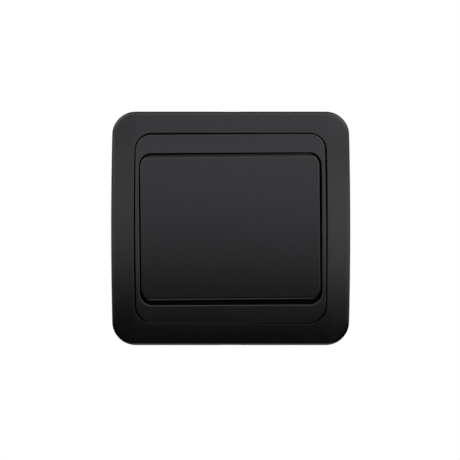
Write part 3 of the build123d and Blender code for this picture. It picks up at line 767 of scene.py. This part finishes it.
class Material(Nodes):
    """A material with a Principled shader."""

    def __init__(self, name):
        self.material = bpy.data.materials.new(name)
        self.material.use_nodes = True
        super().__init__(self.material.node_tree, "Object")
        self.shader = self.tree.nodes["Principled BSDF"]

    def set(self, **values):
        for key, value in values.items():
            self.shader.inputs[key.replace("_", " ")].default_value = value


def black_plastic(name, roughness):
    """Deep black semi-gloss moulding with a very fine grain and faint flow marks."""
    n = Material(name)
    n.set(Metallic=0.0, IOR=1.5, Specular_Tint=(0.93, 0.93, 1.0, 1.0))
    cloud = n.noise(60.0, 4.0)
    tones = ((0.3, (0.0014, 0.0014, 0.0016)), (0.7, (0.0020, 0.0020, 0.0023)))
    n.link(n.colours(cloud, tones), n.shader.inputs["Base Color"])
    # surfaces inside the seams and behind the front are made rougher, and their reflection is turned down:
    # painted shade that darkens the seams and gaps
    parts = n.add("ShaderNodeSeparateXYZ")
    n.link(n.where, parts.inputs["Vector"])
    x, y, z = (parts.outputs[axis] for axis in "XYZ")
    reach = n.math("MAXIMUM", n.math("ABSOLUTE", x), n.math("ABSOLUTE", z))
    inside = n.math("MULTIPLY", n.math("LESS_THAN", reach, 0.033), n.math("GREATER_THAN", y, -0.0064))
    satin = n.spread(n.noise(150.0, 5.0, 0.6), roughness - 0.02, roughness + 0.02)
    n.link(n.math("ADD", satin, n.math("MULTIPLY", inside, 0.5)), n.shader.inputs["Roughness"])
    # painted shade: weaker reflection inside the seams and behind the front
    n.link(n.spread(inside, 0.5, 0.2, 0.0, 1.0), n.shader.inputs["Specular IOR Level"])
    grain = n.bump(n.noise(9000.0, 2.0), 0.06, 0.00002)
    flow = n.bump(n.noise(70.0, 2.0), 0.05, 0.0002, grain)
    n.link(flow, n.shader.inputs["Normal"])
    return n.material


def moulded(name, dark, light, roughness=0.55):
    """Matt moulded plastic."""
    n = Material(name)
    n.link(n.colours(n.noise(90.0, 5.0), ((0.3, dark), (0.7, light))), n.shader.inputs["Base Color"])
    n.link(n.spread(n.noise(300.0, 4.0), roughness - 0.06, roughness + 0.06), n.shader.inputs["Roughness"])
    n.link(n.bump(n.noise(2500.0, 3.0), 0.25, 0.00003), n.shader.inputs["Normal"])
    return n.material


def metal(name, dark, light, roughness=0.32, scale=120.0):
    """Plated or bare metal with a cloudy tone, an uneven polish and a very fine grain."""
    n = Material(name)
    n.set(Metallic=1.0)
    n.link(n.colours(n.noise(scale, 6.0, 0.6), ((0.3, dark), (0.7, light))), n.shader.inputs["Base Color"])
    polish = n.spread(n.noise(scale * 3, 5.0), roughness - 0.05, roughness + 0.07)
    n.link(polish, n.shader.inputs["Roughness"])
    n.link(n.bump(n.noise(scale * 30, 3.0, 0.6), 0.06, 0.00002), n.shader.inputs["Normal"])
    return n.material


key_black = black_plastic("key_black", 0.22)
bezel_black = black_plastic("bezel_black", 0.22)
frame_black = black_plastic("frame_black", 0.22)
base_grey = moulded("base_grey", (0.50, 0.50, 0.48), (0.60, 0.60, 0.57))
cover_grey = moulded("cover_grey", (0.03, 0.03, 0.032), (0.05, 0.05, 0.055))
yoke_white = moulded("yoke_white", (0.66, 0.65, 0.60), (0.74, 0.73, 0.68), 0.42)
zinc = metal("zinc_sheet", (0.52, 0.53, 0.55), (0.68, 0.69, 0.71), 0.34)
zinc_yellow = metal("zinc_screw", (0.56, 0.53, 0.44), (0.68, 0.65, 0.55), 0.30)
rivet_metal = metal("rivet_metal", (0.50, 0.50, 0.52), (0.62, 0.62, 0.64), 0.36)
brass = metal("brass_strip", (0.66, 0.46, 0.20), (0.78, 0.58, 0.28), 0.28)
copper = metal("copper_plate", (0.66, 0.33, 0.20), (0.78, 0.43, 0.28), 0.30)
silver = metal("silver_point", (0.80, 0.79, 0.76), (0.90, 0.89, 0.87), 0.22)
spring_wire = metal("spring_wire", (0.42, 0.43, 0.45), (0.55, 0.56, 0.58), 0.24)

# Pieces that keep the shape of their node: material, and how far their sharp edges are rounded, in mm
SOFT_EDGES = {
    "rocker_yoke": (yoke_white, 0.12),
    "plunger": (yoke_white, 0.1),
    "support_plate": (zinc, 0.12),
    "mechanism_base": (base_grey, 0.18),
    "contact_cover": (cover_grey, 0.12),
    "common_contact": (brass, 0.08),
    "fixed_contact": (brass, 0.08),
    "fixed_contact_rivet": (silver, 0.05),
    "moving_contact": (copper, 0.08),
    "moving_contact_rivet": (silver, 0.1),
    "upper_wire_clamp": (zinc, 0.12),
    "lower_wire_clamp": (zinc, 0.12),
    "left_claw": (zinc, 0.2),
    "right_claw": (zinc, 0.2),
}


def dress(piece, material):
    """Gives a piece one material all over."""
    piece.data.materials.clear()
    piece.data.materials.append(material)
    return piece


def fit(piece, node, material):
    """The piece takes the node's place: on its body, and with a material of its own."""
    source = nodes[node]
    body = source.parent.name.split(":")[1]
    dress(piece, material)
    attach(piece, body)
    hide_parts(node)


fit(make_outer_frame(), "outer_frame", frame_black)
fit(place_bezel(make_trim_bezel()), "trim_bezel", bezel_black)
fit(place_key(make_rocker_key()), "rocker_key", key_black)
fit(make_bezel_screws(), "bezel_screws", zinc_yellow)
fit(make_plate_rivets(), "plate_rivets", rivet_metal)
for side, upright, across in ((1, "upper", "right"), (-1, "lower", "left")):
    fit(make_terminal_screw(side), upright + "_terminal_screw", zinc_yellow)
    fit(make_claw_screw(side), across + "_claw_screw", zinc_yellow)
for node, (material, width) in SOFT_EDGES.items():
    fit(soften(node, width), node, material)
dress(nodes["plunger_spring"], spring_wire)


# ---------------------------------------------------------------- studio
def make_floor():
    """Pale round table well below the switch."""
    mesh = bmesh.new()
    bmesh.ops.create_circle(mesh, cap_ends=True, segments=96, radius=FLOOR_RADIUS)
    data = bpy.data.meshes.new("floor")
    mesh.to_mesh(data)
    mesh.free()
    floor = bpy.data.objects.new("floor", data)
    floor.location = (0, 0, FLOOR_LEVEL)
    bpy.context.scene.collection.objects.link(floor)
    n = Material("floor_paper")
    n.set(Roughness=0.9)
    tones = ((0.3, (0.84, 0.84, 0.84)), (0.7, (0.88, 0.88, 0.88)))
    n.link(n.colours(n.noise(4.0), tones), n.shader.inputs["Base Color"])
    dress(floor, n.material)


def make_world():
    """White studio: it fades to black below the switch, and is brightest to the sides and above."""
    world = bpy.data.worlds.new("studio")
    bpy.context.scene.world = world
    world.use_nodes = True
    n = Nodes(world.node_tree, "Generated")
    background = n.tree.nodes["Background"]
    background.inputs["Color"].default_value = (1.0, 1.0, 1.0, 1.0)
    parts = n.add("ShaderNodeSeparateXYZ")
    n.link(n.where, parts.inputs["Vector"])
    x, y, z = (parts.outputs[name] for name in "XYZ")
    # the lower edge of the light lies a little lower in front and to the right than to the left
    lifted = n.math("ADD", z, n.spread(x, 0.0, 0.06, -0.12, 0.0))
    upright = n.curve(lifted, (
        (-0.34, 0.0), (-0.30, 0.02), (-0.25, 0.13), (-0.20, 0.30), (-0.15, 0.49), (-0.10, 0.69),
        (-0.02, 0.90), (0.03, 0.99), (0.06, 1.0), (0.2, 1.0), (0.25, 1.05), (0.30, 0.78), (0.38, 0.66),
        (0.55, 1.35), (0.85, 1.8), (0.94, 0.8), (1.0, 0.65),
    ))
    sideways = n.curve(x, (
        (-1.0, 1.0), (-0.7, 1.7), (-0.35, 1.3), (-0.13, 0.88), (0.0, 1.05), (0.13, 1.24), (0.35, 1.6),
        (0.7, 1.8), (1.0, 1.0),
    ))
    # a soft lamp in front, a little above the middle
    towards = n.add("ShaderNodeVectorMath", operation="DOT_PRODUCT")
    towards.inputs[1].default_value = Vector((0.0, -1.0, LAMP_HEIGHT)).normalized()
    n.link(n.where, towards.inputs[0])
    lamp = n.spread(towards.outputs["Value"], 0.0, LAMP, math.cos(LAMP_SIZE), 1.0)
    behind = n.spread(y, 1.0, 0.2, -0.15, 0.15)
    light = n.math("MULTIPLY", n.math("ADD", n.math("MULTIPLY", upright, sideways), lamp), behind)
    seen = n.add("ShaderNodeLightPath").outputs["Is Camera Ray"]
    n.link(n.math("MAXIMUM", seen, light), background.inputs["Strength"])


def make_camera():
    camera = bpy.data.cameras.new("camera")
    camera.sensor_width = 36.0
    camera.lens = camera.sensor_width * CAMERA_DISTANCE / VIEW_WIDTH
    camera.clip_start = 0.05
    holder = bpy.data.objects.new("camera", camera)
    holder.location = (VIEW_CENTRE[0], -CAMERA_DISTANCE, VIEW_CENTRE[1])
    holder.rotation_euler = (math.radians(90), 0, 0)
    bpy.context.scene.collection.objects.link(holder)
    bpy.context.scene.camera = holder


make_floor()
make_world()
make_camera()
bpy.context.scene.view_settings.view_transform = "Standard"
